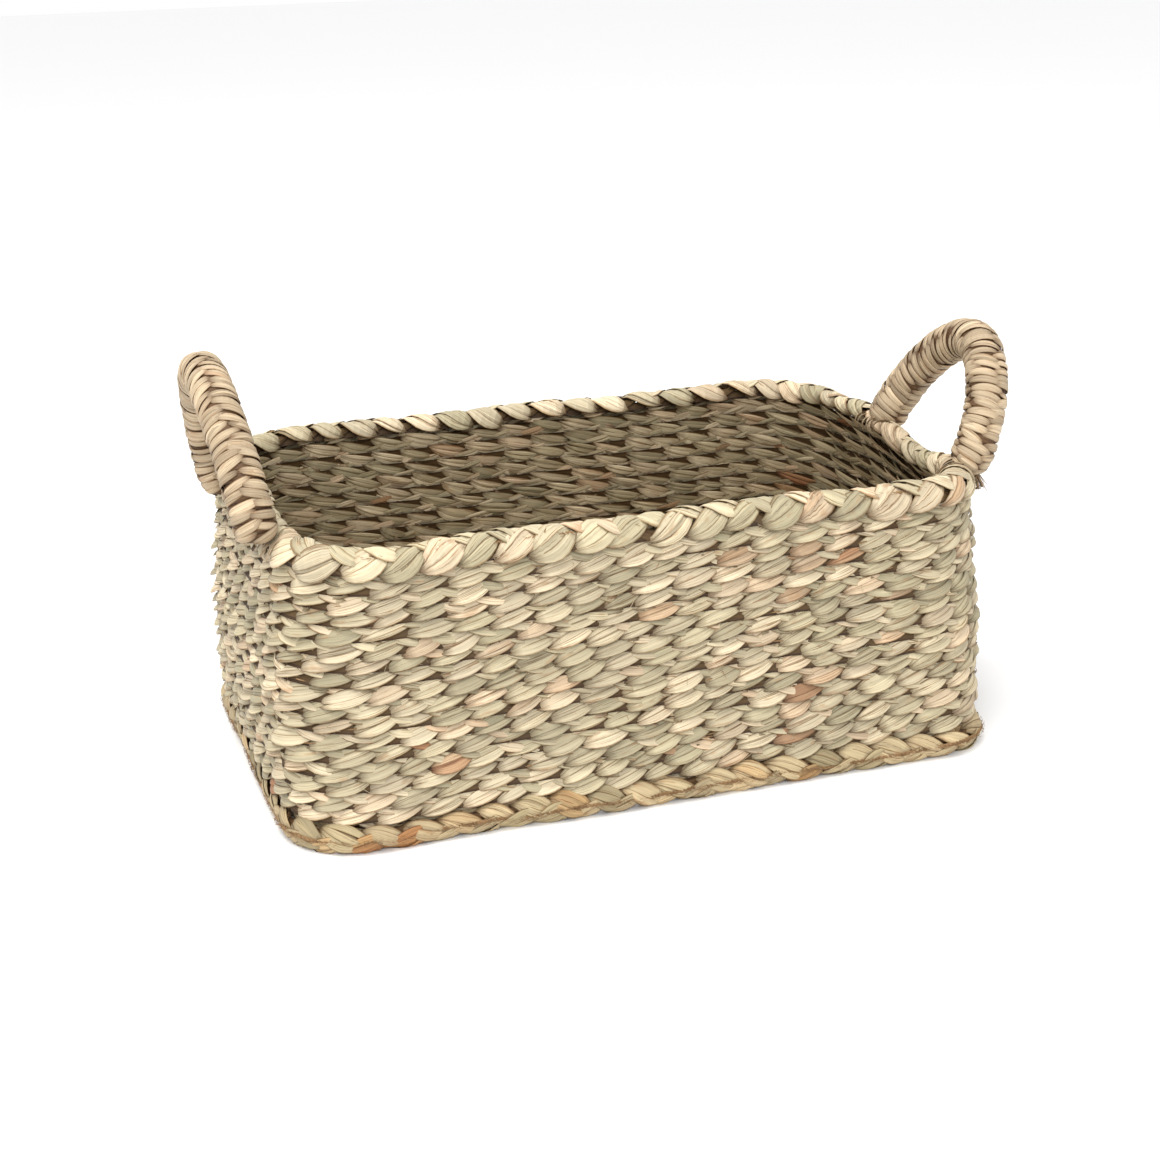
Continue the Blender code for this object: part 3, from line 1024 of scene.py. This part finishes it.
def tube_layer(shape):
    """Function that lays (u along, v round, n out) on a handle, then the handle's length, and even
    places along it with their heights."""
    fine = arch_point(shape, np.linspace(0.02, math.pi - 0.02, 900))
    reach = np.concatenate([[0.0], np.cumsum(np.linalg.norm(np.diff(fine, axis=0), axis=1))])
    even = np.linspace(0, reach[-1], 260)
    path = np.stack([np.interp(even, reach, fine[:, axis]) for axis in range(3)], axis=1)
    tangent = np.gradient(path, axis=0)
    kernel = np.ones(9) / 9
    padded = np.pad(tangent, ((4, 4), (0, 0)), mode="edge")
    tangent = np.stack([np.convolve(padded[:, axis], kernel, "valid") for axis in range(3)], axis=1)
    tangent /= np.linalg.norm(tangent, axis=1)[:, None]
    lean = shape["lean"]
    side_axis = np.array([math.cos(lean), 0.0, -shape["side"] * math.sin(lean)]) * shape["side"]
    across = np.cross(side_axis, tangent)

    def lay(u, v, n):
        angle = v / WRAP_RADIUS
        to_foot = np.minimum(u, even[-1] - u)
        at_front = u < even[-1] / 2
        reach_down = np.where(at_front, shape["front_foot"]["reach"], shape["back_foot"]["reach"])
        tuck = np.where(at_front, shape["front_foot"]["tuck"], shape["back_foot"]["tuck"])
        foot_length = FOOT_ROUND_FROM + reach_down + MM
        rounding = np.clip((FOOT_ROUND_FROM - to_foot) / foot_length, 0.0, 0.98)
        radius = (WRAP_RADIUS + n) * np.sqrt(1 - rounding**2)
        beyond = u - np.clip(u, 0, even[-1])
        centre = np.stack([np.interp(u, even, path[:, axis]) for axis in range(3)], axis=-1)
        run = np.stack([np.interp(u, even, tangent[:, axis]) for axis in range(3)], axis=-1)
        side = np.stack([np.interp(u, even, across[:, axis]) for axis in range(3)], axis=-1)
        centre = centre + run * beyond[..., None]
        centre[..., 0] -= shape["side"] * tuck * rounding**2
        outwards = np.cos(angle)[..., None] * side_axis + np.sin(angle)[..., None] * side
        return centre + radius[..., None] * outwards

    return lay, even[-1], even, path[:, 2]


def wrap_spans(even, heights):
    """Where along a handle its first foot ends and its second one starts."""
    above = even[heights > FOOT_TOP_Z]
    return above[0], above[-1]


def add_wrapping(bundle, lay, start, end, shape, seed):
    """Blades wound round and round the handle from start to end, with their slant changing sign
    from one sector to the next."""
    random = np.random.default_rng(seed)
    turns = int(round((end - start) / WRAP_PITCH))
    pitch = (end - start) / turns
    part = np.linspace(0, turns, turns * 22)
    wave = 0.5 * MM * np.sin(TURN * part * 2 + 1.3 * np.sin(part))
    u = np.clip(start + pitch * part + wave, start, end)
    v = WRAP_RADIUS * TURN * part
    # Hidden band in full painted shade, seen in the gaps between blades.
    ribbon(bundle, lay, u, v, 0 * u - 1.7 * MM, 0 * u + pitch, 1.2 * MM, 0 * u, BAND_PAINTED_SHADE_TONE)
    half = WRAP_RADIUS * TURN / WRAP_SECTORS * WRAP_OVERLAP / 2
    for step in range(turns * WRAP_SECTORS):
        angle = (step + 0.5) / WRAP_SECTORS + random.uniform(-0.05, 0.05)
        middle = start + pitch * angle + random.uniform(-0.5, 0.5) * MM
        apart = math.cos(TURN * angle - shape["seam"])
        slant = WRAP_SLANT * (1 if apart > 0 else -1) * random.uniform(0.3, 1.3)
        slant += random.uniform(-0.8, 0.8) * MM
        reach = half * random.uniform(0.8, 1.15)
        v = WRAP_RADIUS * TURN * angle
        first = np.array([max(middle - slant, start), v - reach])
        last = np.array([min(middle + slant, end), v + reach])
        depth = random.uniform((-1.6, -0.75, -1.6), (-1.0, -0.25, -1.0))
        width = WRAP_WIDTH * random.uniform(0.82, 1.18)
        add_wrap_blade(bundle, lay, first, last, depth * MM, width, random)


def add_wrap_blade(bundle, lay, first, last, depth, width, random):
    """One crowned blade across a sector, often with a narrower one lying over it."""
    part = np.linspace(0, 1, LEAF_STATIONS + 2)
    bow = np.sin(math.pi * part)
    # Painted shade: each wrap blade darkens towards both ends.
    shade = np.clip(0.95 - 4.0 * np.minimum(part, 1 - part), 0.0, 1.0)
    n = lerp(lerp(depth[0], depth[2], part), depth[1], bow**0.6)
    for share, out, thickness, chance in ((1.0, 0.0, 1.1, 1.0), (0.5, 0.35, 0.6, 0.55)):
        if random.random() > chance:
            continue
        turned = random.uniform(-1.0, 1.0) * MM * (1 - share) * 2
        u = lerp(first[0] - turned, last[0] + turned, part)
        v = lerp(first[1], last[1], part)
        wide = share * width * (0.35 + 0.65 * bow**0.5)
        roll = random.uniform(-0.22, 0.22) + random.uniform(-0.3, 0.3) * (part - 0.5)
        pick, bright, _, blade_seed = blade_tone(random, 0.01)
        tone = (pick, bright, shade, blade_seed)
        ribbon(bundle, lay, u, v, n + out * MM * bow, wide, thickness * MM, roll, tone, taper=1.0 * MM)


def add_packing(bundle, lay, start, end):
    """Grass packed under the wrapping, coloured in full painted shade, which shows only in its gaps."""
    for lane in range(PACKING_LANES):
        angle = TURN * lane / PACKING_LANES
        u = np.linspace(start, end, int((end - start) / (5 * MM)) + 3)
        v = WRAP_RADIUS * angle * np.ones_like(u)
        n = (PACKING_RADIUS - WRAP_RADIUS) * np.ones_like(u)
        width = 6.2 * MM * np.ones_like(u)
        # Painted shade: the packing is in full shade.
        tone = (0.1, 0.1, 1.0, lane / PACKING_LANES)
        ribbon(bundle, lay, u, v, n, width, 0.8 * MM, 0 * u, tone, taper=1 * MM)


def add_handle(name, shape):
    lay, length, even, heights = tube_layer(shape)
    arch_start, arch_end = wrap_spans(even, heights)
    front_end = WRAP_PITCH * round(arch_start / WRAP_PITCH)
    back_start = WRAP_PITCH * round(arch_end / WRAP_PITCH)
    arch = Bundle()
    add_packing(arch, lay, front_end - 1 * MM, back_start + 1 * MM)
    add_wrapping(arch, lay, front_end, back_start, shape, shape["seed"])
    add_piece(f"{name}_wrapping", arch, WRAP_GRASS, name, [f"{name}_wrap"])
    lowest = -shape["front_foot"]["reach"]
    highest = length + shape["back_foot"]["reach"]
    feet = [("front", lowest, front_end, 1), ("back", back_start, highest, 2)]
    for foot, start, end, number in feet:
        bundle = Bundle()
        add_packing(bundle, lay, start, end)
        add_wrapping(bundle, lay, start, end, shape, shape["seed"] + number)
        body = ("basket", name, BEND_LOW, BEND_HIGH)
        add_piece(f"{name}_{foot}_foot", bundle, WRAP_GRASS, body)
    add_lashings(name, shape)
    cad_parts[f"{name}_core"].data.materials.clear()
    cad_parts[f"{name}_core"].data.materials.append(CORE_GRASS)


def lashing_layer(shape, foot_y):
    """Function that lays (u along the rim, v over it, n out of it) on the rim under one foot."""
    place = section_track(LASHING_TRACK, 2 * MM)
    side = shape["side"]

    def lay(u, v, n):
        inset, z = place(v, n)
        half_length, half_depth, radius, bulge = outline(inset, z)
        y = foot_y + side * u
        past = np.maximum(np.abs(y) - (half_depth - radius), 0.0)
        x = half_length - radius + np.sqrt(np.maximum(radius**2 - past**2, 0.0))
        reach = (1 - (y / half_depth) ** 2) * np.abs(x / half_length) ** 8
        x = x + bulge * np.maximum(reach, 0.0)
        return np.stack([side * x, y, z], axis=-1)

    return lay


def add_lashing_blades(bundle, lay, random):
    """Blades that bind a foot down over the rim."""
    spread = LASHING_HALF_SPREAD
    for blade in range(LASHING_BLADES):
        y = lerp(-spread, spread, blade / (LASHING_BLADES - 1)) * MM + random.uniform(-1.5, 1.5) * MM
        slant = random.uniform(-9.0, 9.0) * MM
        low = -LASHING_HALF_REACH + random.uniform(2, 12) * MM
        high = LASHING_HALF_REACH - random.uniform(0, 7) * MM
        v = np.linspace(low, high, 16)
        u = y + slant * (v / LASHING_HALF_REACH)
        n = random.uniform(-0.6, 0.5) * MM + 0.3 * MM * np.sin(v / (3 * MM))
        width = random.uniform(1.8, 3.4) * MM * np.ones_like(v)
        roll = random.uniform(-0.4, 0.4) + 0.3 * np.sin(v / (4 * MM))
        tone = blade_tone(random)
        ribbon(bundle, lay, u, v, n, width, LEAF_THICKNESS, roll, tone, taper=9 * MM)


def add_tails(bundle, lay, foot, random):
    """Frayed ends below a foot, on the outside."""
    part = np.linspace(0, 1, 7)
    for _ in range(foot["tails"]):
        y = random.uniform(-6.0, 6.0) * MM
        u = y + random.uniform(-4, 4) * MM * part
        tail = foot["tail"] * random.uniform(0.5, 1.3)
        v = lerp(-6 * MM, -8 * MM - tail, part)
        flare = foot["flare"] * random.uniform(0.1, 1.0)
        n = random.uniform(0.4, 1.4) * MM + flare * part**1.3
        width = random.uniform(0.6, 2.4) * MM * (1.15 - part)
        roll = random.uniform(-0.8, 0.8) * part
        tone = blade_tone(random, 0.3)
        ribbon(bundle, lay, u, v, n, width, 0.3 * MM, roll, tone, taper=3 * MM)


def add_lashings(name, shape):
    for foot, side, seed in (("front", -1, 50), ("back", 1, 60)):
        random = np.random.default_rng(shape["seed"] + seed)
        bundle = Bundle()
        lay = lashing_layer(shape, shape["centre_y"] + side * shape["half_span"])
        add_lashing_blades(bundle, lay, random)
        add_tails(bundle, lay, shape[f"{foot}_foot"], random)
        add_piece(
            f"{name}_{foot}_lashing_blades",
            bundle,
            WRAP_GRASS,
            "basket",
            [f"{name}_{foot}_lashing"],
        )


# ---------------------------------------------------------------- studio


def add_floor():
    half = 6.0
    corners = [(-half, -half, 0), (half, -half, 0), (half, half, 0), (-half, half, 0)]
    mesh = bpy.data.meshes.new("floor")
    mesh.from_pydata(corners, [], [(0, 1, 2, 3)])
    floor = bpy.data.objects.new("floor", mesh)
    bpy.context.scene.collection.objects.link(floor)
    material = bpy.data.materials.new("studio_floor")
    material.use_nodes = True
    shader = material.node_tree.nodes["Principled BSDF"]
    shader.inputs["Base Color"].default_value = (0.93, 0.93, 0.93, 1.0)
    shader.inputs["Roughness"].default_value = 0.9
    mesh.materials.append(material)


def add_area_light(name, place, target, size, power):
    light = bpy.data.lights.new(name, "AREA")
    light.shape = "RECTANGLE"
    light.size, light.size_y = size
    light.energy = power
    item = bpy.data.objects.new(name, light)
    item.location = place
    direction = Vector(target) - Vector(place)
    item.rotation_euler = direction.to_track_quat("-Z", "Y").to_euler()
    bpy.context.scene.collection.objects.link(item)


def add_studio():
    add_floor()
    add_area_light("key", (-0.8, -2.4, 2.0), (0.0, 0.0, 0.08), (1.2, 1.0), 34.0)
    add_area_light("top", (-0.5, -0.3, 1.9), (0.0, 0.0, 0.0), (1.0, 1.0), 24.0)
    world = bpy.data.worlds.new("studio")
    bpy.context.scene.world = world
    world.use_nodes = True
    background = world.node_tree.nodes["Background"]
    background.inputs["Color"].default_value = (1.0, 1.0, 1.0, 1.0)
    background.inputs["Strength"].default_value = 1.0
    bpy.context.scene.view_settings.view_transform = "Standard"


def add_camera():
    data = bpy.data.cameras.new("camera")
    data.sensor_width = SENSOR_WIDTH
    data.lens = CAMERA_LENS
    data.clip_start, data.clip_end = 0.05, 50.0
    camera = bpy.data.objects.new("camera", data)
    right, up = Vector(CAMERA_RIGHT).normalized(), Vector(CAMERA_UP).normalized()
    back = right.cross(up).normalized()
    turn = Matrix((right, up, back)).transposed()
    camera.matrix_world = Matrix.Translation(Vector(CAMERA_PLACE)) @ turn.to_4x4()
    bpy.context.scene.collection.objects.link(camera)
    bpy.context.scene.camera = camera


def main():
    add_camera()
    add_walls()
    add_rim()
    add_base_edge()
    add_bottom()
    add_thread("rim_thread", RIM_SPINE, 700, 1.2 * MM, 900)
    add_thread("base_thread", EDGE_SPINE, 710, 0.8 * MM, 2000)
    add_stray_fibres()
    for name, shape in HANDLES.items():
        add_handle(name, shape)
    add_studio()


main()
